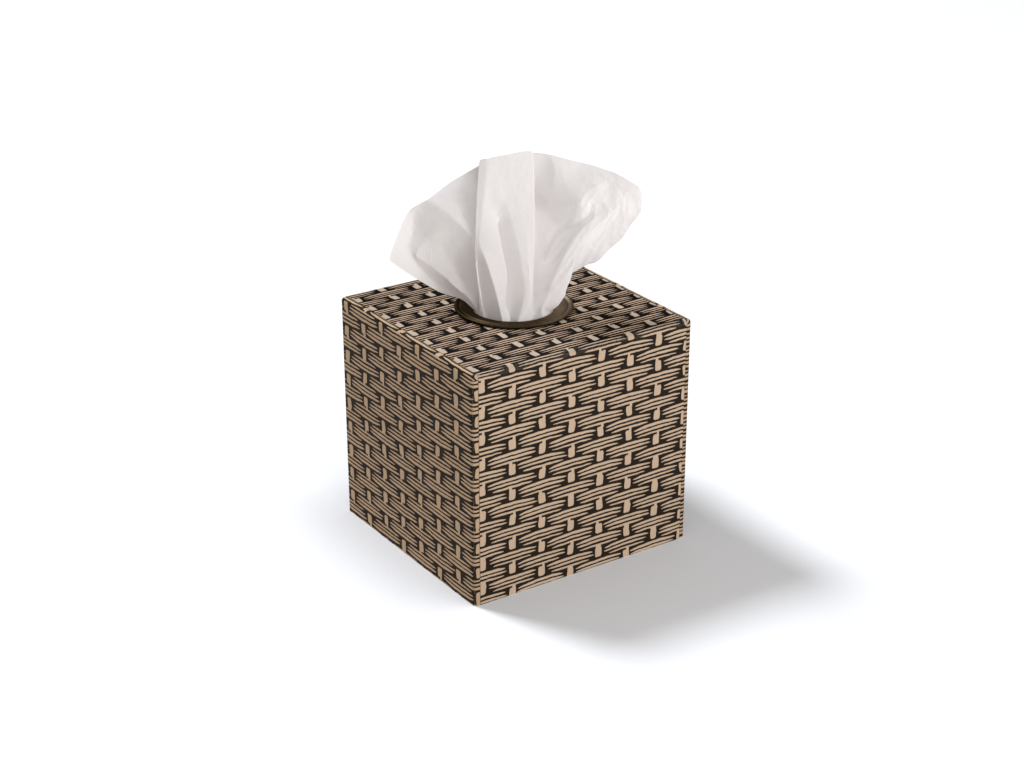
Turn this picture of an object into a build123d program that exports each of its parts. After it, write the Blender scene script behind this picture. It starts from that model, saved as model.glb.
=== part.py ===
from build123d import *
import os
from math import cos, radians, sin

# Cover for a cube carton of tissues, in millimetres: a papered board box with a metal ring round its
# mouth, stood over the carton, with one tissue pulled up. +Z is up, -Y is the front, and the origin is
# in the middle of the floor that it stands on.

# Carton of tissues inside, and the room that the cover leaves round it
carton_w = 112.0
carton_d = 112.0
carton_h = 124.0
carton_card = 0.5
carton_slot_length = 84.0
carton_slot_width = 41.0
side_room = 11.35
end_room = 8.4
head_room = 5.0

# Folded pile in the carton, bent over into an arch
pile_room = 1.0
pile_head_room = 5.0
pile_shoulder = 26.0
pile_split = 3.0
pile_split_h = 70.0

# Cover: boards, the paper on them, and the strip's place between the side sheets
board = 2.5
side_paper = 0.15
strip_paper = 0.3
edge_radius = 1.9
strip_inset = 3.7
paper_lap = 12.0

# Ring in the mouth
ring_bore = 45.0
ring_od = 64.8
throat_wall = 0.8
throat_below = 1.5
throat_fit = 0.2
bead = 2.2
bead_bevel = 0.65
groove_width = 1.2
groove_depth = 0.5
flange_crown = 1.9
flange_lip = 0.9
lip_bevel = 0.8

# Pulled tissue
tissue = 0.6
tissue_fit = 0.3
fan_turn = -33.7

# Derived sizes
wall_h = carton_h + head_room
core_w = carton_w + 2 * (side_room + board)
core_d = carton_d + 2 * (end_room + board)
core_h = wall_h + board
box_h = core_h + strip_paper
core_radius = min(edge_radius, 0.8 * board)
strip_w = core_w + 2 * side_paper - 2 * strip_inset
throat_od = ring_bore + 2 * throat_wall
mouth_hole = throat_od + 2 * throat_fit
pile_top = carton_h - carton_card - pile_head_room

on_floor = (Align.CENTER, Align.CENTER, Align.MIN)


def rounded_block(grow):
    # The boards' outer shape, grown all round by the thickness of the paper on it
    with BuildPart() as block:
        Box(core_w + 2 * grow, core_d + 2 * grow, core_h + grow, align=on_floor)
        upright = block.edges().filter_by(Axis.Z)
        rim = block.faces().sort_by(Axis.Z)[-1].edges()
        fillet(upright + rim, core_radius + grow)
    return block.part


def write(builder, name):
    builder.part.label = name
    export_step(builder.part, f"parts/{name}.step")


os.makedirs("parts", exist_ok=True)

# Front and back boards: full width, with their outer upright edges rounded
with BuildPart() as front_board:
    with Locations((0, (board - core_d) / 2, 0)):
        Box(core_w, board, wall_h, align=on_floor)
    fillet(front_board.edges().filter_by(Axis.Z).group_by(Axis.Y)[0], core_radius)
write(front_board, "front_board")

with BuildPart() as back_board:
    add(front_board.part)
    mirror(about=Plane.XZ, mode=Mode.REPLACE)
write(back_board, "back_board")

# Left and right boards: butted between the front and back boards
with BuildPart() as left_board:
    with Locations(((board - core_w) / 2, 0, 0)):
        Box(board, core_d - 2 * board, wall_h, align=on_floor)
write(left_board, "left_board")

with BuildPart() as right_board:
    add(left_board.part)
    mirror(about=Plane.YZ, mode=Mode.REPLACE)
write(right_board, "right_board")

# Top board: laid on the four walls, rounded at its rim and corners, with the hole for the ring
with BuildPart() as top_board:
    with Locations((0, 0, wall_h)):
        Box(core_w, core_d, board, align=on_floor)
    corners = top_board.edges().filter_by(Axis.Z)
    rim = top_board.faces().sort_by(Axis.Z)[-1].edges()
    fillet(corners + rim, core_radius)
    with BuildSketch(Plane.XY.offset(wall_h)):
        Circle(mouth_hole / 2)
    extrude(amount=board, mode=Mode.SUBTRACT)
write(top_board, "top_board")

# Side sheets: paper on a side board, turned over its edges and lapped under the strip
core = rounded_block(0)
lapped_reach = strip_inset + paper_lap
with BuildPart() as left_paper:
    with Locations((-core_w / 2 - side_paper, 0, 0)):
        Box(lapped_reach, core_d + core_w, core_h + core_w, align=(Align.MIN, Align.CENTER, Align.MIN))
    add(rounded_block(side_paper), mode=Mode.INTERSECT)
    add(core, mode=Mode.SUBTRACT)
write(left_paper, "left_paper")

with BuildPart() as right_paper:
    add(left_paper.part)
    mirror(about=Plane.YZ, mode=Mode.REPLACE)
write(right_paper, "right_paper")

# Strip of paper: up the front, over the top and down the back, pasted over the side sheets' laps
with BuildPart() as wrap_paper:
    Box(strip_w, core_d + core_w, core_h + core_w, align=on_floor)
    add(rounded_block(strip_paper), mode=Mode.INTERSECT)
    add(core, mode=Mode.SUBTRACT)
    add(left_paper.part, mode=Mode.SUBTRACT)
    add(right_paper.part, mode=Mode.SUBTRACT)
    with BuildSketch(Plane.XY.offset(core_h)):
        Circle(mouth_hole / 2)
    extrude(amount=strip_paper, mode=Mode.SUBTRACT)
write(wrap_paper, "wrap_paper")

# Mouth ring: pressed metal, with a bevelled bead at its rim, a vee groove inside the bead, a flange that
# falls to a bevelled lip, and a short throat through the board
bore_radius = ring_bore / 2
throat_radius = throat_od / 2
throat_foot = wall_h - throat_below
lip_top = box_h + flange_lip
crown_top = box_h + flange_crown
rim_radius = ring_od / 2
bead_top = box_h + bead
bead_inside = rim_radius - bead + bead_bevel
crown_radius = rim_radius - bead - groove_width
groove_radius = (bead_inside + crown_radius) / 2
with BuildPart() as mouth_ring:
    with BuildSketch(Plane.XZ):
        with BuildLine():
            Polyline(
                (throat_radius, box_h),
                (rim_radius - bead_bevel, box_h),
                (rim_radius, box_h + bead_bevel),
                (rim_radius, bead_top - bead_bevel),
                (rim_radius - bead_bevel, bead_top),
                (bead_inside, bead_top),
                (groove_radius, crown_top - groove_depth),
                (crown_radius, crown_top),
                (bore_radius + lip_bevel, lip_top),
                (bore_radius, lip_top - lip_bevel),
                (bore_radius, throat_foot),
                (throat_radius, throat_foot),
                close=True,
            )
        make_face()
    revolve(axis=Axis.Z)
write(mouth_ring, "mouth_ring")

# Carton: one folded card box, standing on the floor, with the slot that the tissues come out of
with BuildPart() as tissue_carton:
    Box(carton_w, carton_d, carton_h, align=on_floor)
    with Locations((0, 0, carton_card)):
        Box(
            carton_w - 2 * carton_card,
            carton_d - 2 * carton_card,
            carton_h - 2 * carton_card,
            align=on_floor,
            mode=Mode.SUBTRACT,
        )
    with BuildSketch(Plane.XY.offset(carton_h - carton_card)):
        SlotOverall(carton_slot_length, carton_slot_width)
    extrude(amount=carton_card, mode=Mode.SUBTRACT)
write(tissue_carton, "tissue_carton")

# Pile: interfolded tissues bent over into an arch, so that its two legs stand side by side
pile_w = carton_w - 2 * (carton_card + pile_room)
pile_d = carton_d - 2 * (carton_card + pile_room)
with BuildPart() as tissue_stack:
    with BuildSketch(Plane.XZ.offset(-pile_d / 2)) as arch:
        with Locations((0, carton_card)):
            Rectangle(pile_w, pile_top - carton_card, align=(Align.CENTER, Align.MIN))
        fillet(arch.vertices().group_by(Axis.Y)[-1], pile_shoulder)
        with Locations((0, carton_card)):
            Rectangle(pile_split, pile_split_h, align=(Align.CENTER, Align.MIN), mode=Mode.SUBTRACT)
        with Locations((0, carton_card + pile_split_h)):
            Circle(pile_split / 2, mode=Mode.SUBTRACT)
    extrude(amount=pile_d)
write(tissue_stack, "tissue_stack")

# Pulled tissue: one sheet gathered in the carton's slot and the ring, and opened into a pleated fan.
# Each rib of the fan gives where it leaves the ring, as degrees round the mouth and how far it is tucked
# in from the ring, then its middle and its free end as (across, out, up) from the middle of the mouth.
ribs = [
    (150, 0.0, (-38, 9, 13), (-67, 3, 29)),
    (141, 1.6, (-41, 6, 22), (-63, 1, 40)),
    (133, 0.0, (-37, 4, 34), (-55, -2, 56)),
    (124, 2.6, (-28, 4, 38), (-39, -4, 67)),
    (113, 0.0, (-21, 6, 40), (-25, 0, 77)),
    (106, 7.0, (-14, 3, 39), (-12, -3, 81)),
    (99, 0.0, (-19, 17, 44), (-18, 9, 88)),
    (82, 2.0, (-4, 15, 45), (-4, 8, 91)),
    (61, 0.0, (12, 18, 49), (11, 8, 93)),
    (42, 2.2, (24, 12, 47), (30, 4, 86)),
    (24, 0.4, (31, 11, 46), (48, 4, 81)),
    (4, 0.0, (35, 9, 43), (62, 5, 75)),
    (-12, 3.0, (43, 4, 38), (69, 5, 64)),
    (-27, 0.6, (41, -2, 27), (61, 3, 46)),
    (-42, 2.4, (31, -7, 15), (45, -2, 26)),
    (-57, 0.4, (24, -11, 11), (34, -4, 20)),
]
ring_gather = bore_radius - tissue_fit - tissue / 2
slot_gather = carton_slot_width / 2 - tissue_fit - tissue / 2
tissue_foot = pile_top + tissue_fit
flare = (ring_gather - slot_gather) / (lip_top - carton_h)
foot_gather = slot_gather - flare * (carton_h - tissue_foot)


def in_plan(across, out, height):
    turn = radians(fan_turn)
    return Vector(across * cos(turn) + out * sin(turn), across * sin(turn) - out * cos(turn), height)


def gathered(rib, radius, height):
    angle = radians(rib[0])
    return in_plan((radius - rib[1]) * cos(angle), (radius - rib[1]) * sin(angle), height)


def guide_points(rib):
    # Foot on the pile, start in the ring's lip, the handle that bends the rib through its middle, free end
    start = gathered(rib, ring_gather, lip_top)
    middle = in_plan(rib[2][0], rib[2][1], box_h + rib[2][2])
    end = in_plan(rib[3][0], rib[3][1], box_h + rib[3][2])
    return [gathered(rib, foot_gather, tissue_foot), start, middle * 2 - (start + end) * 0.5, end]


guides = [guide_points(rib) for rib in ribs]


def on_face(i, j, offset):
    # A guide point moved off the middle of the sheet, square to the folds on both sides of its rib
    across = guides[min(i + 1, len(guides) - 1)][j] - guides[max(i - 1, 0)][j]
    upward = guides[i][min(j + 1, 3)] - guides[i][max(j - 1, 0)]
    square = across.cross(upward)
    return guides[i][j] + Vector(square.X, square.Y, square.Z if j > 1 else 0).normalized() * offset


def rib_edges(i, offset):
    foot, start, handle, end = [on_face(i, j, offset) for j in range(4)]
    with BuildLine() as rib_line:
        Line(foot, start)
        Bezier(start, handle, end)
    return rib_line.edges().sort_by(Axis.Z)


def panel(first, second):
    return Face.make_surface_from_curves(first, second)


near = [rib_edges(i, tissue / 2) for i in range(len(ribs))]
far = [rib_edges(i, -tissue / 2) for i in range(len(ribs))]
panels = []
for face in (near, far):
    for left_rib, right_rib in zip(face, face[1:]):
        panels += [panel(left_rib[0], right_rib[0]), panel(left_rib[1], right_rib[1])]
for side in (0, -1):
    panels += [panel(near[side][0], far[side][0]), panel(near[side][1], far[side][1])]
for i in range(len(ribs) - 1):
    for piece, place in ((0, 0), (1, 1)):
        front_edge = Edge.make_line(near[i][piece] @ place, near[i + 1][piece] @ place)
        back_edge = Edge.make_line(far[i][piece] @ place, far[i + 1][piece] @ place)
        panels.append(panel(front_edge, back_edge))

with BuildPart() as popped_tissue:
    add(Solid(Shell(panels)))
write(popped_tissue, "popped_tissue")
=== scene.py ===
import math

import bpy
import numpy as np
from mathutils import Matrix, Vector, noise
from mathutils.geometry import delaunay_2d_cdt


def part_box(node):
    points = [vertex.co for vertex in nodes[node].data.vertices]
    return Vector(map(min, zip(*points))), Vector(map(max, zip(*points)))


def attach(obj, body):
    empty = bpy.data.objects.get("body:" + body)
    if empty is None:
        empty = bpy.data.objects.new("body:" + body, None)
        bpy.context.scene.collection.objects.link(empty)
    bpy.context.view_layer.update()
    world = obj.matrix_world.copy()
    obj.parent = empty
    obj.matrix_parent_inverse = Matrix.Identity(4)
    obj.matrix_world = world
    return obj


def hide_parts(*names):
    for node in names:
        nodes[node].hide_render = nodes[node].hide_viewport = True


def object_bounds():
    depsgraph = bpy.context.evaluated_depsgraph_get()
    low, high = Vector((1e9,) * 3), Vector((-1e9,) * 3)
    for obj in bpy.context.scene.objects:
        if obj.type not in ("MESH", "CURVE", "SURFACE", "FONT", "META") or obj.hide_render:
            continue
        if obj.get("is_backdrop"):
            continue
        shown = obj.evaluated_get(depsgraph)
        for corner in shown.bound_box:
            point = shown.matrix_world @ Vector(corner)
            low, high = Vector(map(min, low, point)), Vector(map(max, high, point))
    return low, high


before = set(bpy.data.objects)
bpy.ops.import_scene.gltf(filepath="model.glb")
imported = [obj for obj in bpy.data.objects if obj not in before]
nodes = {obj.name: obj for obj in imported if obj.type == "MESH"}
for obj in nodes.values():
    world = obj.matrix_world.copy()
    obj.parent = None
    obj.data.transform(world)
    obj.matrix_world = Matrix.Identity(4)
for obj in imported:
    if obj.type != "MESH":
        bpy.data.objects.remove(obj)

cad_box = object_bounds()

# Camera: a long normal lens about 1.1 m away, above and to the left of the front, as in the photograph.
# It stands level but for a tenth of a degree.
camera_turn = math.radians(-33.735)
camera_rise = math.radians(23.742)
camera_roll = math.radians(-0.107)
camera_place = Vector((-0.56244, -0.84040, 0.53115))
camera_lens = 70.4

to_camera = Vector((
    math.sin(camera_turn) * math.cos(camera_rise),
    -math.cos(camera_turn) * math.cos(camera_rise),
    math.sin(camera_rise),
))
camera_right = Vector((0, 0, 1)).cross(to_camera).normalized()
camera_up = to_camera.cross(camera_right)
camera_axes = Matrix((camera_right, camera_up, to_camera)).transposed()
camera_axes = camera_axes @ Matrix.Rotation(camera_roll, 3, "Z")

camera = bpy.data.objects.new("camera", bpy.data.cameras.new("camera"))
camera.data.lens = camera_lens
camera.data.sensor_width = 36.0
camera.matrix_world = Matrix.Translation(camera_place) @ camera_axes.to_4x4()
bpy.context.scene.collection.objects.link(camera)
bpy.context.scene.camera = camera


# Boards: five panels of grey pulp board, cut square, glued edge to edge at the corners and rounded where
# the paper turns over them. Only their inner faces and feet can be seen, from below.
class Amount:
    """A number that changes over a surface: arithmetic on it adds Math nodes to its finish."""

    def __init__(self, finish, socket):
        self.finish = finish
        self.socket = socket

    def math(self, operation, *values):
        return self.finish.node("ShaderNodeMath", {"operation": operation}, dict(enumerate(values)))

    def __add__(self, other):
        return self.math("ADD", self, other)

    def __sub__(self, other):
        return self.math("SUBTRACT", self, other)

    def __rsub__(self, other):
        return self.math("SUBTRACT", other, self)

    def __mul__(self, other):
        return self.math("MULTIPLY", self, other)

    def __truediv__(self, other):
        return self.math("DIVIDE", self, other)

    def __rtruediv__(self, other):
        return self.math("DIVIDE", other, self)

    def __mod__(self, other):
        return self.math("FLOORED_MODULO", self, other)

    def __pow__(self, power):
        return self.math("POWER", self, power)

    def __gt__(self, other):
        return self.math("GREATER_THAN", self, other)

    def __lt__(self, other):
        return self.math("LESS_THAN", self, other)

    def __abs__(self):
        return self.math("ABSOLUTE", self)

    def __round__(self):
        return self.math("ROUND", self)

    def __neg__(self):
        return self.math("MULTIPLY", self, -1.0)

    __radd__ = __add__
    __rmul__ = __mul__

    def sign(self):
        return self.math("SIGN", self)

    def root(self):
        return self.math("SQRT", self)

    def at_least(self, other):
        return self.math("MAXIMUM", self, other)

    def at_most(self, other):
        return self.math("MINIMUM", self, other)

    def step(self, low, high):
        """Goes softly from 0 at low to 1 at high."""
        return self.finish.node(
            "ShaderNodeMapRange", {"interpolation_type": "SMOOTHSTEP"}, {0: self, 1: low, 2: high}
        )


class Nodes:
    """A node tree in the making: node() adds any node and hands back one of its outputs."""

    def __init__(self, tree):
        self.tree = tree

    def feed(self, node, sockets):
        for key, value in sockets.items():
            if isinstance(value, Amount):
                self.tree.links.new(value.socket, node.inputs[key])
            else:
                node.inputs[key].default_value = value

    def node(self, kind, settings, sockets, output=0):
        made = self.tree.nodes.new(kind)
        for key, value in settings.items():
            setattr(made, key, value)
        self.feed(made, sockets)
        return Amount(self, made.outputs[output])


class Finish(Nodes):
    """A material in the making, with the few kinds of node that the finishes share."""

    def __init__(self, name, **shader_values):
        self.material = bpy.data.materials.new(name)
        self.material.use_nodes = True
        super().__init__(self.material.node_tree)
        self.shader = self.tree.nodes["Principled BSDF"]
        self.coat({key.replace("_", " "): value for key, value in shader_values.items()})

    def coat(self, sockets):
        self.feed(self.shader, sockets)

    def place(self):
        """Where a point is in the frame, in millimetres, as a vector."""
        metres = self.node("ShaderNodeTexCoord", {}, {}, "Object")
        return self.node("ShaderNodeVectorMath", {"operation": "SCALE"}, {0: metres, "Scale": 1000.0})

    def parts(self, vector):
        return [self.node("ShaderNodeSeparateXYZ", {}, {0: vector}, axis) for axis in range(3)]

    def vector(self, *parts):
        return self.node("ShaderNodeCombineXYZ", {}, dict(enumerate(parts)))

    def stretched(self, vector, factors):
        return self.node("ShaderNodeVectorMath", {"operation": "MULTIPLY"}, {0: vector, 1: factors})

    def clouds(self, vector, size, detail=2.0, output=0):
        """Soft noise whose blotches are about size millimetres across."""
        sockets = {"Vector": vector, "Scale": 1.0 / size, "Detail": detail}
        return self.node("ShaderNodeTexNoise", {}, sockets, output)

    def blend(self, first, second, share):
        return self.node("ShaderNodeMix", {"data_type": "RGBA"}, {0: share, 6: first, 7: second}, 2)

    def bump(self, height, depth):
        """Relief of the given depth in metres where the height goes from 0 to 1."""
        self.coat({"Normal": self.node("ShaderNodeBump", {}, {"Distance": depth, "Height": height})})

    def dress(self, *pieces):
        for piece in pieces:
            piece.data.materials.clear()
            piece.data.materials.append(self.material)


board_greys = [(0.30, 0.275, 0.245, 1), (0.40, 0.375, 0.34, 1)]
fleck_grey = (0.17, 0.15, 0.13, 1)
greyboard = Finish("greyboard", Roughness=0.85)
board_place = greyboard.place()
board_pulp = greyboard.clouds(board_place, 7.0, 4.0)
board_fibre = greyboard.stretched(board_place, (1.0, 1.0, 0.35))
board_fleck = greyboard.clouds(board_fibre, 0.9, 1.0).step(0.60, 0.68)
board_grey = greyboard.blend(*board_greys, board_pulp)
greyboard.coat({"Base Color": greyboard.blend(board_grey, fleck_grey, board_fleck * 0.55)})
greyboard.bump(greyboard.clouds(board_place, 0.6, 3.0), 0.00012)
greyboard.dress(*[nodes[side + "_board"] for side in ("front", "back", "left", "right", "top")])


# Side sheets: coated paper printed with a basket weave, pasted on the left and right boards and turned
# over their edges. They are pasted on upside down, so that their stakes hang upwards.
stake_pitch = 18.75
row_pitch = 7.25
stake_half = 2.1
stake_middle = 0.2
stake_reach = 2.95
stake_corner = 1.15
weave_dark = (0.0225, 0.0164, 0.0118, 1)
# The top's darker ground colour is painted shade, and its greyer stake tan is painted sheen
top_shade_black = (0.004, 0.003, 0.003, 1)
top_stake_sheen_tan = (0.478, 0.397, 0.313, 1)
# The paper's pale body, shown by wear, and also the colour of the painted sheen on the strip's bends
pale_body_and_sheen = (0.50, 0.45, 0.40, 1)
side_tans = [(0.484, 0.340, 0.221, 1), (0.560, 0.406, 0.273, 1)]

# A bundle's three strands: the height of the strand's middle line, its half thickness and its half length
top_line, top_half, top_reach = 2.0, 0.68, 14.5
mid_line, mid_half, mid_reach = -0.2, 0.59, 14.3
low_line, low_half, low_reach = -2.5, 0.47, 11.9

# How far strands differ in half thickness, half length, place along the row and tilt
uneven_half, uneven_reach, uneven_place, uneven_tilt = 0.18, 1.1, 1.4, 0.035
low_uneven_reach, low_uneven_place = 1.4, 1.8

# Stakes: how far they differ in width and tilt, and the slanting cut of their feet
uneven_stake, stake_tilt = 0.3, 0.25
foot_way, foot_play, foot_least = (0.6, 0.8), 1.6, 2.7

# Necks, the bits of stake that show between the rows: some are whole, and others stand left or right
neck_least, uneven_neck, neck_aside, neck_from = 0.75, 0.35, 1.05, 2.2
neck_whole_from, neck_whole_less, neck_right_from = 0.78, 0.3, 0.3

# The hand's unevenness: the sway of all lines across and along, and the roughness of their edges
sway_size, sway_across, sway_along = 6.0, 0.9, 0.75
rough_size, rough_depth = 1.8, 0.4


def strand(x, y, middle, half_thick, half_length, arch):
    """How deep a point lies in one strand of a bundle, which is arched and narrows to blunt ends."""
    reach = x / half_length
    left_over = 1.0 - reach ** 4.0
    width = left_over.at_least(0.0).root() * half_thick
    off_line = abs(y - (arch * (0.5 - reach * reach) + middle))
    return width - off_line + left_over.at_most(0.0) * 3.0


def weave_print(finish, across, along):
    """The weave's drawing at a point of the flat paper, in millimetres: tan strands on a dark ground."""
    flat = finish.vector(across, along, 0.0)
    sway = finish.parts(finish.clouds(flat, sway_size, 1.5, "Color"))
    p = across + (sway[0] - 0.5) * sway_across
    q = along + (sway[1] - 0.5) * sway_along
    row = round(q / row_pitch)
    y = q - row * row_pitch
    odd = row % 2.0
    shifted = p - odd * stake_pitch
    pair = round(shifted / (2 * stake_pitch))
    x = shifted - pair * (2 * stake_pitch)
    column = pair * 2.0 + odd

    def chance(at_column, at_row, draw):
        cell = finish.vector(at_column, at_row, draw)
        return finish.parts(finish.node("ShaderNodeTexWhiteNoise", {}, {"Vector": cell}, "Color"))

    lean, thick, long = chance(column, row, 1.5)
    bow, slim, short = chance(column, row, 2.5)
    tilt = x * (lean - 0.5) * uneven_tilt
    half, reach = thick * uneven_half + top_half, long * uneven_reach + top_reach
    top = strand(x + (short - 0.5) * uneven_place, y - tilt, top_line, half, reach, bow * 0.7 + 0.35)
    half, reach = slim * uneven_half + mid_half, short * uneven_reach + mid_reach
    mid = strand(x + (lean - 0.5) * uneven_place, y - tilt, mid_line, half, reach, bow * 0.5 + 0.1)
    half, reach = short * uneven_half + low_half, thick * low_uneven_reach + low_reach
    low = strand(x + (slim - 0.5) * low_uneven_place, y - tilt * 0.5, low_line, half, reach, lean * 0.35)

    beside = x - x.sign() * stake_pitch
    stake_lean, foot_cut, stake_wide = chance(column + x.sign(), row, 3.5)
    stake_x = beside + (stake_lean - 0.5) * stake_tilt * y
    wide = stake_wide * uneven_stake + stake_half - uneven_stake / 2
    corner_x = (abs(stake_x) - (wide - stake_corner)).at_least(0.0)
    corner_y = (abs(y - stake_middle) - (stake_reach - stake_corner)).at_least(0.0)
    stake = stake_corner - (corner_x * corner_x + corner_y * corner_y).root()
    foot = stake_x * foot_way[0] + y * foot_way[1] + foot_cut * foot_play + foot_least
    stake = stake.at_most(foot)

    hung = y > 0.0
    neck_x = x + (beside - x) * hung
    side, neck_wide, full = chance(column + x.sign() * hung, row - 1.0 + hung, 4.5)
    whole = full > neck_whole_from
    neck_half = neck_wide * uneven_neck + neck_least
    neck_half = neck_half + (stake_half - neck_whole_less - neck_half) * whole
    neck_at = (side - neck_right_from).sign() * neck_aside * (1.0 - whole)
    neck = (neck_half - abs(neck_x - neck_at)).at_most(abs(y) - neck_from)

    drawn = top.at_least(mid).at_least(low).at_least(stake).at_least(neck)
    hand_cut = finish.clouds(finish.stretched(flat, (0.6, 1.0, 1.0)), rough_size, 1.0) - 0.5
    return drawn + hand_cut * rough_depth, lean, flat, stake


def printed_paper(name, tans, across, along, thin_ink_and_shade, wear_and_sheen, edge_shade):
    """A finish of printed paper, from its two tans and functions of a point of the frame: where it lies
    across and along the flat sheet, how thin its tan strands are and how far painted shade and sheen darken
    and grey the top, how far it is worn pale or greyed by painted sheen, and the painted shade along the
    strip's edges."""
    finish = Finish(name, Roughness=0.55, Specular_IOR_Level=0.03)
    place = finish.place()
    xyz = finish.parts(place)
    drawn, shade, flat, stake = weave_print(finish, across(*xyz), along(*xyz))
    # lean is 1 on the top: there the tan strands are drawn thinner, painted shade darkens the tan and the
    # ground, and painted sheen greys the stakes
    lean = thin_ink_and_shade(*xyz)
    drawn = drawn - lean * 0.20
    grain = finish.clouds(finish.stretched(flat, (0.35, 2.2, 1.0)), 0.9, 3.0)
    mottle = finish.clouds(flat, 14.0, 2.0)
    # Painted shade: the tan is darker on the top
    tan_share = grain * 0.7 + mottle * 0.5 + shade * 0.25 - 0.2 - lean * 0.25
    tan = finish.blend(*tans, tan_share)
    # Painted sheen: the stakes on the top are greyed and dimmed
    tan = finish.blend(tan, top_stake_sheen_tan, lean ** 6.0 * stake.step(0.0, 0.15))
    inked = drawn.step(-0.05, 0.07)
    edge_tint = drawn.step(0.05, 0.45) * 0.12 + 0.88
    # Painted shade: the ground is darker on the top
    ground = finish.blend(weave_dark, top_shade_black, lean)
    tan = finish.blend(ground, tan, inked * edge_tint)
    # rub: pale wear on the side sheets' edges and foot, and painted sheen along the strip's bends with scuffs
    # near their ends
    rub = wear_and_sheen(*xyz) * finish.clouds(flat, 1.6, 3.0).step(0.35, 0.65)
    tan = finish.blend(tan, pale_body_and_sheen, rub)
    # Painted shade along the strip's edges and in the side sheets' corners beside them
    finish.coat({"Base Color": finish.blend(tan, weave_dark, edge_shade(*xyz))})
    finish.coat({"Roughness": grain * 0.16 + 0.42})
    finish.bump(finish.clouds(flat, 0.5, 2.0) + drawn.step(-0.1, 0.1) * 0.3, 0.00003)
    return finish


strip_low, strip_high = [corner * 1000.0 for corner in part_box("wrap_paper")]
side_low, side_high = [corner * 1000.0 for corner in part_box("left_paper")]
side_shade = strip_low.x - side_low.x
side_turn = 2.3
side_print_y = 23.45
side_print_z = 121.05


def side_across(x, y, z):
    """Along the side sheet, out over the front and back edges, with the print turned upside down."""
    turned_in = x - side_low.x
    over = abs(y) > (side_high.y - side_turn)
    return side_print_y - (y + y.sign() * turned_in * over)


def side_along(x, y, z):
    turned_in = x - side_low.x
    return side_print_z - (z + turned_in * (z > side_high.z - side_turn))


def side_thin_ink_and_shade(x, y, z):
    """The side sheets have none of the top's thinner strands, painted shade or painted sheen."""
    return x * 0.0


def side_rubbed(x, y, z):
    """The rub on the upright edges and along the foot, where the paper's pale body shows."""
    edge = (abs(y) - (side_high.y - 1.1)).step(0.0, 0.5) * (x - side_low.x).step(1.2, 0.5)
    foot = z.step(0.5, 0.2)
    return edge * 0.18 + foot * 0.8


def side_edge_shade(x, y, z):
    """Painted shade in the corner where the strip's edge lies on the sheet's turned edges."""
    return (x - side_low.x).step(side_shade - 0.22, side_shade - 0.06) * 0.7


side_functions = (side_across, side_along, side_thin_ink_and_shade, side_rubbed, side_edge_shade)
left_print = printed_paper("left_print", side_tans, *side_functions)
left_print.dress(nodes["left_paper"])


def turned_about(function):
    """The same for the right sheet, which is the left one turned half round."""
    return lambda x, y, z: function(-x, -y, z)


right_functions = [turned_about(function) for function in side_functions]
right_print = printed_paper("right_print", side_tans, *right_functions)
right_print.dress(nodes["right_paper"])


# Strip: one length of the same paper, from the front's foot over the top to the back's foot, pasted over
# the side sheets' laps. Its two long edges are cut, with painted shade along them.
strip_print_x = -27.25
strip_print_z = 117.05
strip_edge = 0.15
strip_bend = 4.0


def strip_across(x, y, z):
    return x - strip_print_x


def strip_along(x, y, z):
    """Up the front, over the top and down the back."""
    return y - strip_low.y + strip_high.z + (strip_high.z - z) * y.sign() - strip_print_z


def strip_thin_ink_and_shade(x, y, z):
    """On the top the tan strands are drawn thinner, painted shade darkens the tan and the ground, and painted
    sheen greys the stakes.
    """
    return z.step(strip_high.z - 2.0, strip_high.z - 0.3)


def strip_sheen_and_scuffs(x, y, z):
    """Painted sheen along the two bends, and scuffs near their ends, both in the paper's pale body colour."""
    bend = z.step(strip_high.z - strip_bend, strip_high.z - 1.0)
    bend = bend * abs(y).step(strip_high.y - strip_bend, strip_high.y - 1.0)
    scuff = abs(x).step(strip_high.x - 2.2, strip_high.x - 0.4)
    return bend * (scuff * 0.6 + 0.13)


# Painted shade along the strip's two long edges
def strip_edge_shade(x, y, z):
    return abs(x).step(strip_high.x - strip_edge, strip_high.x - strip_edge + 0.1) * 0.7


strip_tans = [(0.540, 0.400, 0.286, 1), (0.620, 0.470, 0.344, 1)]
strip_functions = (strip_across, strip_along, strip_thin_ink_and_shade, strip_sheen_and_scuffs, strip_edge_shade)
wrap_print = printed_paper("wrap_print", strip_tans, *strip_functions)
wrap_print.dress(nodes["wrap_paper"])


# Mouth ring: pressed from sheet metal with a rolled bead at its rim, a groove inside the bead and a flange
# that falls to a rounded lip, toned to a dark bronze and waxed. Its throat is pushed through the top board.
bronze_tones = [(0.026, 0.0185, 0.0105, 1), (0.062, 0.046, 0.028, 1)]
# The lighter colour of the painted reflection on the ring's right side
bronze_reflection_light = (0.36, 0.285, 0.21, 1)
bronze_bright = (0.15, 0.112, 0.068, 1)
bronze = Finish("bronze", Metallic=1.0, Specular_Tint=(0.62, 0.52, 0.42, 1))
ring_place = bronze.place()
ring_patina = bronze.clouds(ring_place, 5.0, 4.0)
ring_speck = bronze.clouds(ring_place, 0.8, 2.0)
ring_tone = bronze.blend(*bronze_tones, ring_patina)
ring_x, ring_y, _ = bronze.parts(ring_place)
# Painted reflection: the ring's right side is painted lighter, in specks, for the bright light it would
# reflect from the right
ring_right_reflection = (ring_x * 0.9 - ring_y * 0.35).step(4.0, 30.0)
ring_tone = bronze.blend(ring_tone, bronze_reflection_light, ring_right_reflection * (ring_speck * 0.8 + 0.3))
ring_glint = ring_speck.step(0.54, 0.72) * 0.5
bronze.coat({"Base Color": bronze.blend(ring_tone, bronze_bright, ring_glint)})
bronze.coat({"Roughness": ring_patina * 0.2 + ring_speck * 0.12 + 0.32})
bronze.bump(ring_speck, 0.00004)


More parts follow.
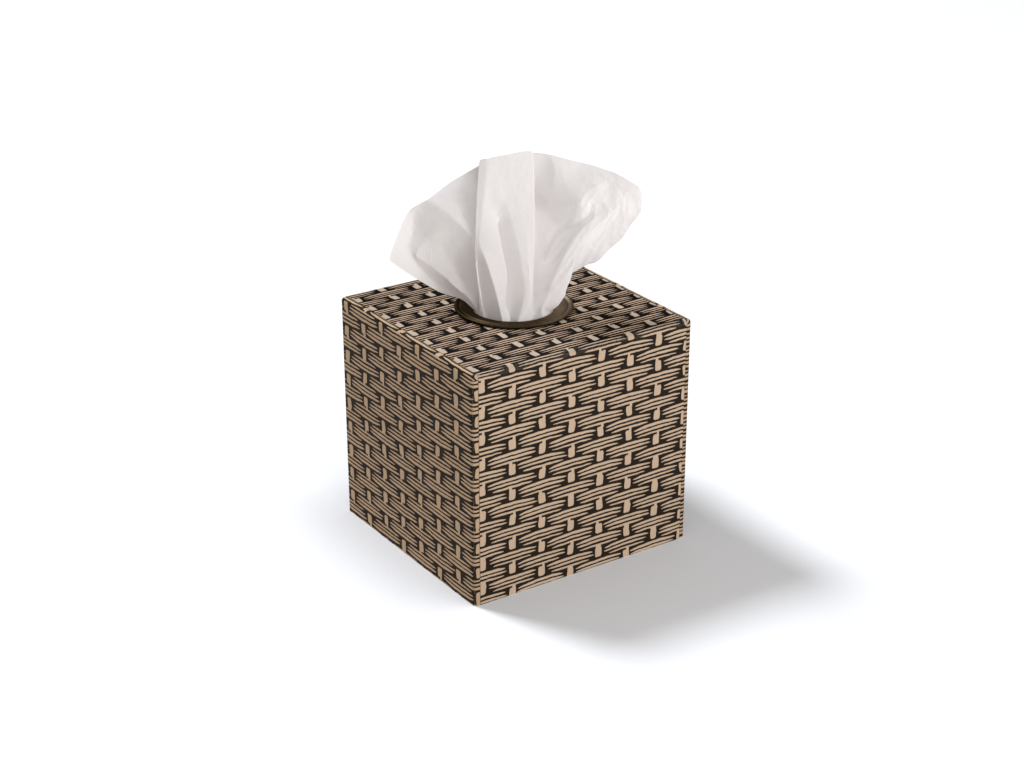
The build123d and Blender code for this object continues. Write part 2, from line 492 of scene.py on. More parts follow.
def formed(name, places, faces, finish, node):
    """A new piece that takes the place of a solid and stands where it stood."""
    mesh = bpy.data.meshes.new(name)
    mesh.from_pydata(places, [], faces)
    mesh.polygons.foreach_set("use_smooth", [True] * len(faces))
    piece = bpy.data.objects.new(name, mesh)
    bpy.context.scene.collection.objects.link(piece)
    finish.dress(piece)
    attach(piece, "root")
    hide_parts(node)
    return piece


def round_of(middle, radius, first, last, steps):
    """Points of an arc in the ring's section, from the first to the last angle in degrees."""
    angles = [math.radians(first + (last - first) * i / steps) for i in range(steps + 1)]
    return [(middle[0] + radius * math.cos(a), middle[1] + radius * math.sin(a)) for a in angles]


mouth_middle = Vector((0, 0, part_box("wrap_paper")[1].z))
ring_low, ring_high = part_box("mouth_ring")
rim_radius = ring_high.x
bead_radius = 0.0011
bore_radius = 0.0225
throat_radius = 0.0233
crown_radius = 0.0290
crown_height = 0.0019
lip_height = 0.0009
lip_radius = 0.0008
groove_depth = 0.0005
groove_radius = 0.0003
flange_fall = [(0.0262, 0.00137), (0.0240, 0.00098)]
edge_ease = 0.0001
ring_turns = 192
throat_foot = ring_low.z - mouth_middle.z
ring_section = [(throat_radius, throat_foot), (throat_radius, 0.0), (rim_radius - bead_radius, 0.0)]
ring_section += round_of((rim_radius - bead_radius, bead_radius), bead_radius, -75, 125, 12)
groove_middle = (rim_radius - 2 * bead_radius + crown_radius) / 2
groove_height = crown_height - groove_depth + groove_radius
ring_section += round_of((groove_middle, groove_height), groove_radius, -40, -140, 4)
ring_section += [(crown_radius + edge_ease, crown_height - edge_ease)]
ring_section += [(crown_radius - 2 * edge_ease, crown_height)]
ring_section += flange_fall
ring_section += round_of((bore_radius + lip_radius, lip_height - lip_radius), lip_radius, 90, 180, 5)
ring_section += [(bore_radius, throat_foot + edge_ease), (bore_radius, throat_foot)]
ring_places = []
ring_faces = []
section_count = len(ring_section)
for turn in range(ring_turns):
    angle = 2 * math.pi * turn / ring_turns
    following = (turn + 1) % ring_turns
    for i, (radius, height) in enumerate(ring_section):
        ring_places.append((radius * math.cos(angle), radius * math.sin(angle), mouth_middle.z + height))
        j = (i + 1) % section_count
        here, there = turn * section_count, following * section_count
        ring_faces.append((here + i, there + i, there + j, here + j))
bronze_ring = formed("bronze_ring", ring_places, ring_faces, bronze, "mouth_ring")


# Carton: one blank of thin white card, folded and glued, that the cover is stood over.
# It stands on the floor and holds the pile.
card_whites = [(0.62, 0.60, 0.56, 1), (0.72, 0.70, 0.67, 1)]
white_card = Finish("white_card", Roughness=0.6)
card_place = white_card.place()
card_tone = white_card.clouds(card_place, 9.0, 3.0)
white_card.coat({"Base Color": white_card.blend(*card_whites, card_tone)})
white_card.bump(white_card.clouds(card_place, 0.7, 2.0), 0.00004)
white_card.dress(nodes["tissue_carton"])


# Pile: interfolded tissues, bent over into an arch in the carton, so that its two legs stand side by side.
# It is made as nested leaves of a few tissues each, whose ends stand a little out of line.
pile_whites = [(0.80, 0.775, 0.765, 1), (0.88, 0.86, 0.85, 1)]
ply_gap_painted_shade = (0.52, 0.49, 0.47, 1)
tissue_white = Finish("tissue_white", Roughness=0.9)
tissue_place = tissue_white.place()
tissue_tone = tissue_white.clouds(tissue_place, 6.0, 3.0)
tissue_colour = tissue_white.blend(*pile_whites, tissue_tone)
ply, _, _ = tissue_white.parts(tissue_white.node("ShaderNodeUVMap", {"uv_map": "plies"}, {}))
# Painted shade darkens the gaps between the plies, which are also pressed in as grooves
ply_line = abs(ply - round(ply)).step(0.16, 0.04)
tissue_white.coat({"Base Color": tissue_white.blend(tissue_colour, ply_gap_painted_shade, ply_line * 0.6)})
tissue_white.bump(tissue_white.clouds(tissue_place, 0.6, 2.0) - ply_line, 0.00008)

pile_low, pile_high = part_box("tissue_stack")
pile_shoulder = 0.026
pile_split = 0.003
pile_split_top = pile_low.z + 0.0715
pile_leaves = 16
plies_per_leaf = 7
leaf_gap = 0.0012
leaf_stagger = 0.0009


def arch(half_width, top, shoulder):
    """Points of the pile's section: up the left leg, over its shoulders and down the right leg."""
    leg = [(-half_width, pile_low.z + (top - shoulder - pile_low.z) * i / 12) for i in range(12)]
    bend = round_of((shoulder - half_width, top - shoulder), shoulder, 180, 90, 10)
    return leg + bend + [(-x, z) for x, z in reversed(leg + bend)]


outer_arch = arch(pile_high.x, pile_high.z, pile_shoulder)
inner_arch = arch(pile_split / 2, pile_split_top, pile_split / 2)


def nested(share):
    """The arch that lies between the pile's outer and inner ones."""
    pairs = zip(outer_arch, inner_arch)
    return [(1 - share) * Vector(outer) + share * Vector(inner) for outer, inner in pairs]


pile_places = []
pile_faces = []
pile_plies = []
for leaf in range(pile_leaves):
    outside = leaf / pile_leaves + (leaf_gap if leaf else 0.0)
    inside = (leaf + 1) / pile_leaves - leaf_gap
    back = pile_high.y - (abs(noise.noise(Vector((leaf * 1.7, 3.1, 0.0)))) * leaf_stagger if leaf else 0.0)
    front = pile_low.y + (abs(noise.noise(Vector((leaf * 1.7, 8.3, 0.0)))) * leaf_stagger if leaf else 0.0)
    first = len(pile_places)
    for (outer_x, outer_z), (inner_x, inner_z) in zip(nested(outside), nested(inside)):
        pile_places += [(outer_x, front, outer_z), (outer_x, back, outer_z)]
        pile_places += [(inner_x, back, inner_z), (inner_x, front, inner_z)]
        pile_plies += [outside, outside, inside, inside]
    rings = range(first, len(pile_places), 4)
    for here, there in zip(rings, rings[1:]):
        pile_faces += [(here + i, there + i, there + (i + 1) % 4, here + (i + 1) % 4) for i in range(4)]
    pile_faces += [tuple(rings[0] + i for i in range(4)), tuple(rings[-1] + i for i in (3, 2, 1, 0))]
tissue_pile = formed("tissue_pile", pile_places, pile_faces, tissue_white, "tissue_stack")
tissue_pile.data.polygons.foreach_set("use_smooth", [False] * len(pile_faces))
ply_layer = tissue_pile.data.uv_layers.new(name="plies")
for corner, loop in zip(ply_layer.data, tissue_pile.data.loops):
    corner.uv = (pile_plies[loop.vertex_index] * pile_leaves * plies_per_leaf, 0.0)


# Pulled tissue: the top sheet of the pile, soft two-ply paper pulled half out. It is gathered in the ring
# and in the carton's slot, opens above them into a creased fan, and its lower half still lies on the pile.
photo_middle = Vector((512, 384))
photo_focal = 2 * photo_middle.x * camera_lens / camera.data.sensor_width
ring_gather = 0.0219
fan_right = Vector((math.cos(camera_turn), math.sin(camera_turn), 0))
fan_out = Vector((math.sin(camera_turn), -math.cos(camera_turn), 0))

# Leaves that pass behind others are laid out some pixels aside, so that the flat layout has no overlaps
leaf_shift = {"wing": -20, "front": 0, "groove": 5, "turn": 6, "lobe": 14}

# The free edge, from the left of the mouth over the top to its right. Its points are seen in the photograph:
# pixel column, pixel row, and the millimetres by which it stands out from the middle of the mouth
rim_feet = [(158, 0.0), (-12, 0.0)]
rim = [
    ("wing", [
        (462, 299, 5.5), (441, 293, 0.4), (420, 281, 2), (404, 271, 5), (388, 260, 6.5), (396, 239, 5.2),
        (403, 221, 3.4), (410, 209, 1.4), (428, 199, 1.6), (452, 181, -5), (466, 173, -1), (480, 165, 4),
        (489, 161, 0),
    ]),
    ("front", [(479, 160, 9.5), (487, 158, 10), (507, 154.5, 9.5), (521, 151.5, 9), (532.5, 150.5, 8.5)]),
    ("turn", [(531, 152, 1)]),
    ("front", [(549, 154, 3.5), (570, 160, 3.8), (590, 164.5, 3.5)]),
    ("lobe", [
        (616, 173, 6), (630, 181, 7), (639, 187, 7.5), (643, 195, 7.5), (641, 212, 7), (631, 225, 6),
        (622, 239, 4), (610, 249, 2), (597, 262, -1), (582, 267, -2.5), (570, 275, -4), (563, 292, -5),
    ]),
]

# Folds: leaf, crispness, where it starts in the ring, as degrees round the mouth and tuck, and its points
folds = [
    ("wing", 0.9, (153, 0.6), [
        (468, 297, 11.6), (456, 288, 9), (445, 277, 6.6), (429, 265, 4.6), (414, 255, 4),
    ]),
    ("wing", 0.0, None, [
        (414, 216, 1.4), (412, 233, 2.2), (408, 250, 2.8), (417, 264, 2.4), (430, 278, 1.6), (447, 290, 2.4),
    ]),
    ("wing", 0.6, None, [(414, 255, 4), (425, 240, 4), (437, 234, 6.2), (449, 215, 7)]),
    ("wing", 0.9, (147, 0.0), [
        (478, 288, 15.4), (475, 260, 14.2), (472, 236, 12.2), (462, 226, 9.8), (449, 215, 7),
    ]),
    ("wing", 0.5, None, [(449, 215, 7), (438, 207, 5), (428, 199, 1.6)]),
    ("wing", 0.0, None, [(441, 246, 5.2), (453, 262, 6.2), (463, 282, 8.8)]),
    ("wing", 0.0, None, [(452, 186, 1), (457, 202, 4.6), (463, 216, 7.6), (470, 227, 10.4)]),
    ("wing", 0.0, None, [(482, 190, 6), (481, 215, 10), (480, 240, 12.2)]),
    ("wing", 0.5, (131, 5.0), [
        (490, 300, 13), (487, 272, 11), (486, 245, 9), (488, 215, 7), (490, 190, 4), (489, 161, 0),
    ]),
    ("front", 1.0, (139, 0.0), [
        (480, 296, 16.6), (477, 275, 16.3), (475, 255, 15.8), (475, 242, 15.2),
        (476, 215, 14.2), (477, 190, 12.6), (479, 160, 9.5),
    ]),
    ("front", 0.3, (133, 1.2), [(481.4, 300, 15.8), (478.6, 281, 15.8), (476.2, 262, 15.4)]),
    ("front", 1.0, (106, 0.0), [(498, 300, 21.6), (492, 278, 20.9), (485, 258, 19), (479, 243, 15.9)]),
    ("front", 0.2, None, [(479, 243, 15.9), (482, 215, 14.7), (485, 190, 13.2), (487, 158, 10)]),
    ("front", 1.0, (101, 1.5), [
        (505, 300, 20), (508, 276, 18.8), (501, 243, 15.2), (496, 214, 12.4), (505, 204, 12.6),
    ]),
    ("groove", 0.6, (96, 4.0), [
        (502.5, 300, 17), (505.5, 276, 15.8), (498.5, 244, 12.8), (495.5, 222, 11.6),
    ]),
    ("front", 0.2, (84, 0.0), [
        (525, 292, 19.6), (522.5, 270, 18.2), (519, 250, 16.5), (514, 231, 14.7),
        (508, 211, 12.9), (505, 204, 12.6), (502, 188, 11.8),
    ]),
    ("front", 0.0, (74, 0.8), [
        (529.5, 300, 20.3), (529.5, 275, 18.7), (527.5, 245, 16.1), (522, 212, 13.2), (517, 182, 11.2),
    ]),
    ("front", 1.0, (64, 0.0), [
        (533, 300, 20), (533.5, 275, 18.2), (534, 240, 15.4), (534.5, 205, 12.6),
        (534, 178, 10.6), (532.5, 150.5, 8.5),
    ]),
    ("turn", 0.8, (54, 5.0), [
        (531.5, 300, 8), (532, 275, 2.4), (532.5, 240, -3), (533, 205, -4), (532.5, 180, -2), (531, 152, 1),
    ]),
    ("front", 0.0, None, [(545, 262, 2), (553, 243, 0.6), (562, 231, 2.2), (577, 224, 7.6)]),
    ("front", 0.9, None, [(577, 224, 7.6), (588, 216, 9), (591, 206, 9.2)]),
    ("front", 0.5, (44, 0.0), [
        (541, 308, 16.4), (549, 290, 15.2), (557, 268, 13.8), (567, 247, 12.4),
        (577, 234, 11.4), (590, 221, 10.4), (601, 212, 9.6), (611, 210, 9.6),
    ]),
    ("front", 0.5, (26, 0.0), [
        (559, 306, 13.2), (566, 296, 13), (572, 280, 13), (574, 265, 13), (577, 250, 12.6), (586, 238, 11.2),
        (598, 225, 10.4), (610, 216, 10),
    ]),
    ("front", 0.8, None, [(545, 201, 2), (560, 202, 7), (580, 204, 11.4)]),
    ("front", 0.8, None, [(549, 154, 3.5), (556, 170, 5), (553, 183, 4.8)]),
    ("front", 0.0, None, [(563, 168, 5.4), (565, 184, 6.8)]),
    ("front", 0.9, None, [(580, 204, 11.4), (586, 193, 10), (598, 184, 9), (606, 181, 7.6)]),
    ("front", 0.5, None, [(586, 204, 10.8), (595, 196, 9.8), (606, 188, 8.4)]),
    ("front", 0.9, None, [(591, 206, 9.2), (604, 205, 9.4), (619, 206, 9.6)]),
    ("lobe", 0.0, (6, 2.5), [(558, 290, 3), (568, 268, 4), (584, 252, 5), (600, 238, 6), (612, 226, 7)]),
    ("lobe", 0.3, None, [
        (598, 253, 2.4), (612, 238, 5), (624, 222, 7.4), (630, 205, 8.8), (622, 190, 8.4),
    ]),
]


def picked(column, row, out):
    """The place seen at a pixel, on the upright plane that stands out before the middle of the mouth."""
    sideways = (column - photo_middle.x) / photo_focal
    upwards = (photo_middle.y - row) / photo_focal
    ray = camera_axes @ Vector((sideways, upwards, -1))
    reach = (fan_out.dot(mouth_middle - camera_place) + out * 0.001) / fan_out.dot(ray)
    return camera_place + ray * reach


def seen_at(place):
    """The pixel at which a place is seen."""
    ray = camera_axes.transposed() @ (place - camera_place)
    return photo_middle.x - photo_focal * ray.x / ray.z, photo_middle.y + photo_focal * ray.y / ray.z


def in_ring(degrees, tuck):
    """A place in the ring's lip, tucked in from it by some millimetres."""
    angle = math.radians(degrees)
    radius = ring_gather - tuck * 0.001
    sideways = fan_right * math.cos(angle) + fan_out * math.sin(angle)
    return mouth_middle + sideways * radius + Vector((0, 0, lip_height))


class Layout:
    """The sheet's guide points, with their places and their spots on the flat layout, and their lines."""

    def __init__(self):
        self.number = {}
        self.places = []
        self.spots = []
        self.lines = []

    def point(self, key, place, spot):
        if key not in self.number:
            self.number[key] = len(self.places)
            self.places.append(place)
            self.spots.append(Vector(spot))
        return self.number[key]

    def pick(self, leaf, pixel):
        return self.point((leaf, *pixel[:2]), picked(*pixel), (pixel[0] + leaf_shift[leaf], -pixel[1]))

    def foot(self, leaf, foot):
        place = in_ring(*foot)
        column, row = seen_at(place)
        return self.point(foot, place, (column + leaf_shift[leaf], -row))

    def line(self, points, crispness):
        self.lines += [(first, second, crispness) for first, second in zip(points, points[1:])]


rim_crispness = 1.0
held_crispness = 2.0
layout = Layout()
rim_points = [layout.foot("wing", rim_feet[0])]
for leaf, pixels in rim:
    rim_points += [layout.pick(leaf, pixel) for pixel in pixels]
rim_points.append(layout.foot("lobe", rim_feet[1]))
feet = [rim_points[0]]
for leaf, crispness, foot, pixels in folds:
    points = [layout.pick(leaf, pixel) for pixel in pixels]
    if foot:
        feet.append(layout.foot(leaf, foot))
        points.insert(0, feet[-1])
    layout.line(points, crispness)
feet.append(rim_points[-1])
layout.line(rim_points, rim_crispness)
layout.line(feet, held_crispness)

inside_lines = 1
cage = delaunay_2d_cdt(layout.spots, [line[:2] for line in layout.lines], [], inside_lines, 0.0001)
order = [was[0] for was in cage[3]]
places = np.array([layout.places[i] for i in order])
spots = np.array([layout.spots[i] for i in order])
triangles = np.array(cage[2])
renumber = np.argsort(order)
lines = renumber[np.array([line[:2] for line in layout.lines])]
crisp = np.array([line[2] for line in layout.lines])


def sides_of(triangles):
    sides = [triangles[:, [0, 1]], triangles[:, [1, 2]], triangles[:, [2, 0]]]
    return np.sort(np.concatenate(sides), axis=1)


def split(places, spots, triangles, lines, crisp):
    """Cuts each triangle into four. A line's two halves keep its crispness."""
    edges, where = np.unique(sides_of(triangles), axis=0, return_inverse=True)
    count = len(places)
    ab, bc, ca = (count + where).reshape(3, -1)
    a, b, c = triangles.T
    quarters = ((a, ab, ca), (ab, b, bc), (ca, bc, c), (ab, bc, ca))
    ordered = np.sort(lines, axis=1)
    known = edges[:, 0] * count + edges[:, 1]
    middle = count + np.searchsorted(known, ordered[:, 0] * count + ordered[:, 1])
    return (
        np.concatenate([places, places[edges].mean(1)]),
        np.concatenate([spots, spots[edges].mean(1)]),
        np.concatenate([np.stack(quarter, 1) for quarter in quarters]),
        np.concatenate([np.stack((lines[:, 0], middle), 1), np.stack((middle, lines[:, 1]), 1)]),
        np.concatenate([crisp, crisp]),
    )


splits = 4
for level in range(splits):
    places, spots, triangles, lines, crisp = split(places, spots, triangles, lines, crisp)


def neighbours(edges, count):
    """A function for the mean of each point's neighbours along the edges, and how many each has."""
    ends = np.concatenate([edges, edges[:, ::-1]])
    number = np.bincount(ends[:, 0], minlength=count)

    def mean(values):
        total = np.stack([np.bincount(ends[:, 0], values[ends[:, 1], axis], count) for axis in range(3)], 1)
        return np.where(number[:, None] > 0, total / np.maximum(number, 1)[:, None], values)

    return mean, number


# Between the folds the paper is pulled taut, and then all but the crisp folds is softened
count = len(places)
sheet_mean, _ = neighbours(np.unique(sides_of(triangles), axis=0), count)
line_mean, on_lines = neighbours(lines[crisp > 0], count)
stiff = np.zeros(count)
for end in (0, 1):
    np.maximum.at(stiff, lines[:, end], crisp)
held = (stiff > rim_crispness)[:, None]
stiff = np.where(on_lines == 1, 0.0, np.minimum(stiff, 1.0))[:, None]
on_fold = np.zeros((count, 1), bool)
on_fold[lines] = True
taut_rounds, taut_share = 60, 0.6
soft_rounds, soft_share = 12, 0.5
for turn in range(taut_rounds):
    places = np.where(on_fold, places, places + taut_share * (sheet_mean(places) - places))
for turn in range(soft_rounds):
    pull = (1 - stiff) * (sheet_mean(places) - places) + stiff * (line_mean(places) - places)
    places = np.where(held, places, places + soft_share * pull)


# The crumple: faint all over, stronger on the lobe that was pinched to pull the tissue, and in fine streaks
# up the folds below the lobe. The columns and rows are pixels of the photograph
def facing(places, triangles):
    """The way that the sheet faces at each of its points."""
    a, b, c = places[triangles].transpose(1, 0, 2)
    square = np.cross(b - a, c - a)
    corners = triangles.ravel()
    total = [np.bincount(corners, np.repeat(square[:, axis], 3), len(places)) for axis in range(3)]
    total = np.stack(total, 1)
    return total / np.maximum(np.linalg.norm(total, axis=1), 1e-12)[:, None]


pinched_from = 540
pinched_all = 600
coarse_size, fine_size, crease_size = 9.0, 4.0, 24.0
streak_wide, streak_long = 5.0, 40.0
fine_crumple = 0.00012
pinch_crumple = 0.0004
streak_crumple = 0.0006
streak_way = Vector((0.58, 0.81))
streak_column, streak_column_fade = 542, 14
streak_row, streak_row_fade = 215, 30
ring_clear = 0.015
pinched = np.clip((spots[:, 0] - pinched_from) / (pinched_all - pinched_from), 0, 1)
streaked = np.clip((spots[:, 0] - streak_column) / streak_column_fade, 0, 1)
streaked = streaked * np.clip((-spots[:, 1] - streak_row) / streak_row_fade, 0, 1)
above_ring = np.clip((places[:, 2] - mouth_middle.z - lip_height) / ring_clear, 0, 1)
crumple = np.zeros(count)
for i, (x, y) in enumerate(spots):
    spot = Vector((x, y, 0))
    soft = noise.noise(spot / coarse_size) + 0.5 * noise.noise(spot / fine_size)
    sharp = noise.ridged_multi_fractal(spot / crease_size, 0.9, 2.1, 3, 1.0, 1.6) - 1.2
    along = streak_way.dot((x, y))
    aside = streak_way.orthogonal().dot((x, y))
    streak = noise.noise(Vector((aside / streak_wide, along / streak_long, 0)))
    crumple[i] = fine_crumple * soft + pinch_crumple * pinched[i] * sharp
    crumple[i] += streak_crumple * streaked[i] * streak
places = places + facing(places, triangles) * (crumple * above_ring)[:, None]

# The throat, down through the ring and the slot, and the lower half, spread in small pleats on the pile
carton_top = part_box("tissue_carton")[1].z
slot_gather = 0.0199
throat_end = carton_top - 0.0026
throat_rows = 10
skirt_rows = 36
skirt_pleats = 32
skirt_wave = 0.0021
skirt_lift = 0.0025
skirt_reach = 0.053
skirt_spread = 0.8
skirt_square = 6


def pile_height(x):
    """The pile's top, which is flat and then falls away at its rounded shoulders."""
    past = min(max(abs(x) - (pile_high.x - pile_shoulder), 0.0), 0.96 * pile_shoulder)
    return pile_high.z - pile_shoulder + math.sqrt(pile_shoulder ** 2 - past ** 2)


mouth_row = np.unique(lines[crisp > rim_crispness])
mouth_row = mouth_row[np.argsort(spots[mouth_row, 0])]
mouth_xy = places[mouth_row, :2] - np.array(mouth_middle[:2])
mouth_angle = np.unwrap(np.arctan2(mouth_xy[:, 1], mouth_xy[:, 0]))
mouth_radius = np.linalg.norm(mouth_xy, axis=1)
middle_angle = (mouth_angle[0] + mouth_angle[-1]) / 2
lip_z = mouth_middle.z + lip_height
rows = [mouth_row]
lower_places = []
lower_spots = []
for row in range(1, throat_rows + skirt_rows + 1):
    down = min(row / throat_rows, 1.0)
    out = max(row - throat_rows, 0) / skirt_rows
    narrowed = 1 + (slot_gather / ring_gather - 1) * max(2 * down - 1, 0.0)
    for column, (angle, radius) in enumerate(zip(mouth_angle, mouth_radius)):
        turned = middle_angle + (angle - middle_angle) * (1 + skirt_spread * out)
        along_x, along_y = math.cos(turned), math.sin(turned)
        squared = abs(along_x) ** skirt_square + abs(along_y) ** skirt_square
        edge = skirt_reach / squared ** (1 / skirt_square)
        reach = radius * narrowed + (edge - radius * narrowed) * out
        x, y = reach * along_x, reach * along_y
        wave = math.sin(2 * math.pi * skirt_pleats * column / (len(mouth_row) - 1)) * skirt_wave
        laid = pile_height(x) + skirt_lift + wave * min(out * 3, 1.0)
        level = lip_z + (throat_end - lip_z) * down
        settle = min(out * 6, 1.0)
        lower_places.append((x, y, level + (laid - level) * settle))
        lower_spots.append((spots[mouth_row[column], 0], spots[mouth_row[column], 1] - 3.0 * row))
    rows.append(np.arange(len(mouth_row)) + len(places) + (row - 1) * len(mouth_row))
quads = [
    (upper[i], lower[i], lower[i + 1], upper[i + 1])
    for upper, lower in zip(rows, rows[1:])
    for i in range(len(mouth_row) - 1)
]
all_places = np.concatenate([places, np.array(lower_places)])
all_spots = np.concatenate([spots, np.array(lower_spots)])
all_faces = [tuple(t) for t in triangles.tolist()] + [tuple(int(i) for i in quad) for quad in quads]

paper_whites = [(0.745, 0.717, 0.716, 1), (0.775, 0.749, 0.748, 1)]
paper_glow_tint = (0.93, 0.90, 0.885, 1)
paper_glow_share = 0.2
soft_paper = Finish("soft_paper", Roughness=0.9, Specular_IOR_Level=0.1)
paper_place = soft_paper.place()
paper_tone = soft_paper.clouds(paper_place, 6.0, 3.0)
paper_white = soft_paper.blend(*paper_whites, paper_tone)
soft_paper.coat({"Base Color": paper_white})
flat_x, flat_y, _ = soft_paper.parts(soft_paper.node("ShaderNodeUVMap", {"uv_map": "flat"}, {}))
dot_pitch = 2.2
dot_x = flat_x / dot_pitch
dot_y = flat_y / dot_pitch + round(dot_x) * 0.5
dot_off = ((dot_x - round(dot_x)) ** 2.0 + (dot_y - round(dot_y)) ** 2.0).root()


def dot_band(point, way, half_width, fade):
    """How far a spot lies in a band of pressed dots, from a point on its middle line and the way across."""
    off = (flat_x - point[0]) * way[0] + (flat_y - point[1]) * way[1]
    return (abs(off) - half_width).step(fade, -fade)


# Each band: a point on its middle line and the way across, in pixels of the flat layout, its half width, its
# fade, and the columns between which it dies out
left_point, left_way, left_half, left_fade = (392.0, -212.0), (0.89, 0.46), 9.0, 3.0
left_out, left_full = 446.0, 440.0
right_point, right_way, right_half, right_fade = (612.0, -252.0), (0.65, -0.76), 6.0, 2.0
right_out, right_full = 590.0, 596.0
left_band = dot_band(left_point, left_way, left_half, left_fade) * flat_x.step(left_out, left_full)
right_band = dot_band(right_point, right_way, right_half, right_fade) * flat_x.step(right_out, right_full)
pressed = left_band.at_least(right_band) * dot_off.step(0.34, 0.12)
paper_grain = soft_paper.clouds(paper_place, 0.6, 2.0) * 0.4
soft_paper.bump(paper_grain - pressed * 0.7, 0.00014)
paper_front = Amount(soft_paper, soft_paper.shader.outputs[0])
paper_glow = soft_paper.node("ShaderNodeBsdfTranslucent", {}, {"Color": paper_glow_tint})
paper_both = {0: paper_glow_share, 1: paper_front, 2: paper_glow}
paper_mix = soft_paper.node("ShaderNodeMixShader", {}, paper_both)
soft_paper.feed(soft_paper.tree.nodes["Material Output"], {0: paper_mix})
fan_places = all_places.tolist()
tissue = formed("pulled_tissue", fan_places, all_faces, soft_paper, "popped_tissue")
flat_layer = tissue.data.uv_layers.new(name="flat")
corner_points = np.zeros(len(tissue.data.loops), int)
tissue.data.loops.foreach_get("vertex_index", corner_points)
flat_layer.data.foreach_set("uv", all_spots[corner_points].ravel())


# Floor and light: a white floor in a white room that is brightest in front, to the right of the camera, so
# that the front is lit more than the left side, and a large soft lamp high behind on the left, whose
# shadow falls to the front right. The floor gives back a little light of its own, so that it stays white.
floor_reach = 6.0
floor_shaded = (0.44, 0.445, 0.455, 1)
floor_bright = (0.850, 0.868, 0.897, 1)
floor_shade_reach = 0.08
floor_own_light = 0.10


def level_square(name, reach, height):
    """A flat square that lies level, with its middle under the middle of the mouth."""
    mesh = bpy.data.meshes.new(name)
    corners = ((-1, -1), (1, -1), (1, 1), (-1, 1))
    mesh.from_pydata([(x * reach, y * reach, height) for x, y in corners], [], [(0, 1, 2, 3)])
    made = bpy.data.objects.new(name, mesh)
    bpy.context.scene.collection.objects.link(made)
    return made


floor = level_square("floor", floor_reach, 0.0)
floor_white = Finish("floor_white", Roughness=0.9)
# Painted shade: the floor's colour darkens near the box's foot, where much of the space around it is closed
# in
floor_near = {"Distance": floor_shade_reach}
floor_open = floor_white.node("ShaderNodeAmbientOcclusion", {"samples": 8}, floor_near, "AO")
floor_tone = floor_white.blend(floor_shaded, floor_bright, floor_open)
floor_white.coat({"Base Color": floor_tone})
floor_white.coat({"Emission Color": (1, 1, 1, 1), "Emission Strength": floor_own_light})
floor_white.dress(floor)
floor.visible_diffuse = False
floor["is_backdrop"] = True

# The floor lights nothing above it. Light from below is the room's, and a grey card under the floor dims it,
# most of all at the box's foot
card_reach = 0.22
card_drop = 0.002
grey_card = level_square("grey_card", card_reach, -card_drop)
# The card also glows dimly with a warm light of its own
card_grey = Finish("card_grey", Roughness=0.9, Base_Color=(0.2, 0.18, 0.16, 1), Emission_Strength=0.6)
card_grey.coat({"Emission Color": (1.0, 0.95, 0.9, 1)})
card_grey.dress(grey_card)
grey_card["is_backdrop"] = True

lamp_aim = Vector((0, 0, 0.07))


def lamp(name, place, width, watts, tint):
    """A round soft lamp that is aimed at the middle of the box."""
    made = bpy.data.objects.new(name, bpy.data.lights.new(name, "AREA"))
    made.data.shape = "DISK"
    made.data.size = width
    made.data.energy = watts
    made.data.color = tint
    made.location = place
    made.rotation_mode = "QUATERNION"
    made.rotation_quaternion = (lamp_aim - Vector(place)).to_track_quat("-Z", "Y")
    bpy.context.scene.collection.objects.link(made)
    return made


def lit_group(name, pieces, state):
    """Pieces for a lamp's linking, which takes them in or leaves them out by their state."""
    made = bpy.data.collections.new(name)
    for piece in pieces:
        made.objects.link(piece)
    for entry in made.collection_objects:
        entry.light_linking.link_state = state
    return made


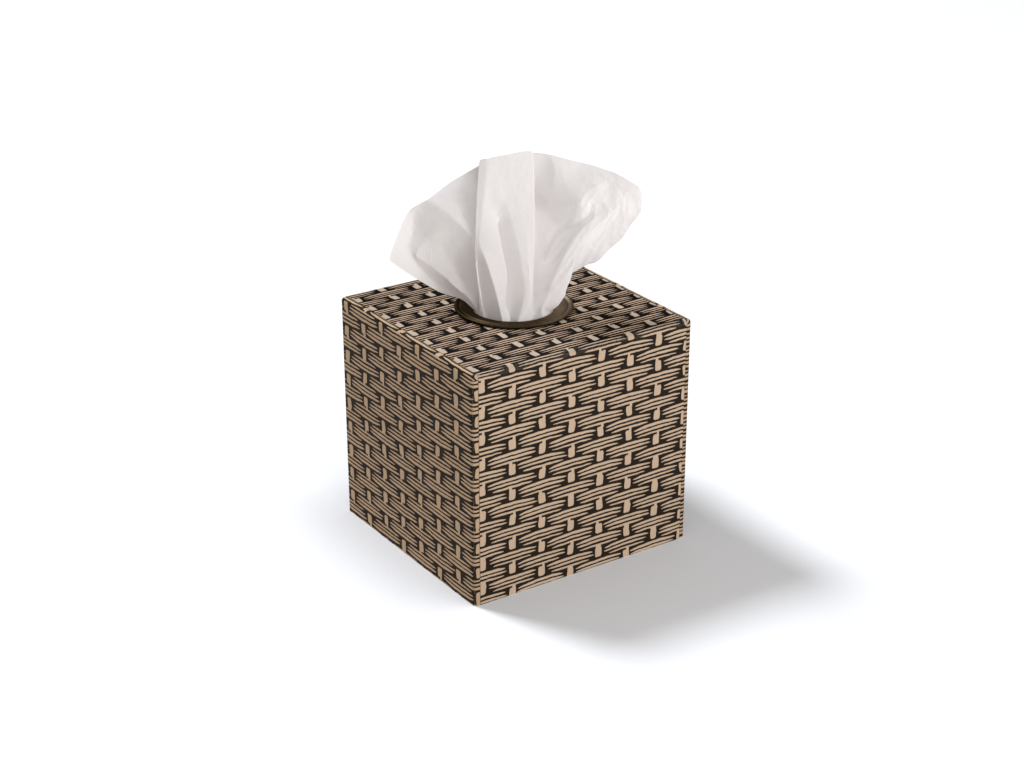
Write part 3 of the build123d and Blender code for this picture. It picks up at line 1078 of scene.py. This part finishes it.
# Part of the back lamp's light goes on through the thin tissue, which throws only a faint shadow
back_place = (-1.06, 2.33, 3.66)
back_width = 1.1
back_tint = (0.97, 1.0, 1.05)
lamp("back_lamp", back_place, back_width, 100.0, back_tint)
through_lamp = lamp("through_lamp", back_place, back_width, 70.0, back_tint)
front_lamp = lamp("front_lamp", (1.57, -2.07, 3.78), 1.5, 44.0, (1.0, 1.0, 1.0))
let_through = lit_group("let_through", [tissue], "EXCLUDE")
through_lamp.light_linking.blocker_collection = let_through
front_lamp.light_linking.blocker_collection = let_through

# The front lamp passes over the floor and the tissue. A lamp nearly overhead lights the floor in its place,
# so that the shadow on the left keeps close to the box's foot
front_lamp.light_linking.receiver_collection = lit_group("passed_over", [tissue, floor], "EXCLUDE")
floor_lamp = lamp("floor_lamp", (0.65, -0.62, 4.0), 1.2, 32.0, (0.95, 1.02, 1.08))
floor_lamp.light_linking.receiver_collection = lit_group("lit_floor", [floor], "INCLUDE")
floor_lamp.light_linking.blocker_collection = let_through

# A lamp low on the right of the camera lights only the tissue, in place of the front lamp
tissue_lamp = lamp("tissue_lamp", (0.45, -2.38, 0.9), 0.8, 27.2, (1.0, 0.985, 0.98))
tissue_lamp.light_linking.receiver_collection = lit_group("lit_tissue", [tissue], "INCLUDE")

# The room's dim half lights the box with a warm tint, and to the camera the whole room is white
room_dim = 0.108
room_bright = 1.5
room_warm = (1.0, 0.74, 0.55, 1.0)
room_white = (1.0, 0.985, 0.97, 1.0)
room_front = Vector((-0.12, -0.96, -0.25)).normalized()
world = bpy.data.worlds.new("white_room")
world.use_nodes = True
bpy.context.scene.world = world
room = Nodes(world.node_tree)
room_way = room.node("ShaderNodeTexCoord", {}, {}, "Generated")
room_ways = {0: room_way, 1: room_front}
room_facing = room.node("ShaderNodeVectorMath", {"operation": "DOT_PRODUCT"}, room_ways, "Value")
room_light = room_facing.at_least(0.0) * room_bright + room_dim
seen = room.node("ShaderNodeLightPath", {}, {}, "Is Camera Ray")
background = world.node_tree.nodes["Background"]
room_share = room_facing.step(0.0, 0.4).at_least(seen)
room_tints = {0: room_share, 6: room_warm, 7: room_white}
room_tint = room.node("ShaderNodeMix", {"data_type": "RGBA"}, room_tints, 2)
room.feed(background, {"Color": room_tint, "Strength": room_light + (1.0 - room_light) * seen})
bpy.context.scene.view_settings.view_transform = "Standard"

boxes = {"cad": cad_box, "visual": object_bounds()}
{name: [list(corner) for corner in box] for name, box in boxes.items()}
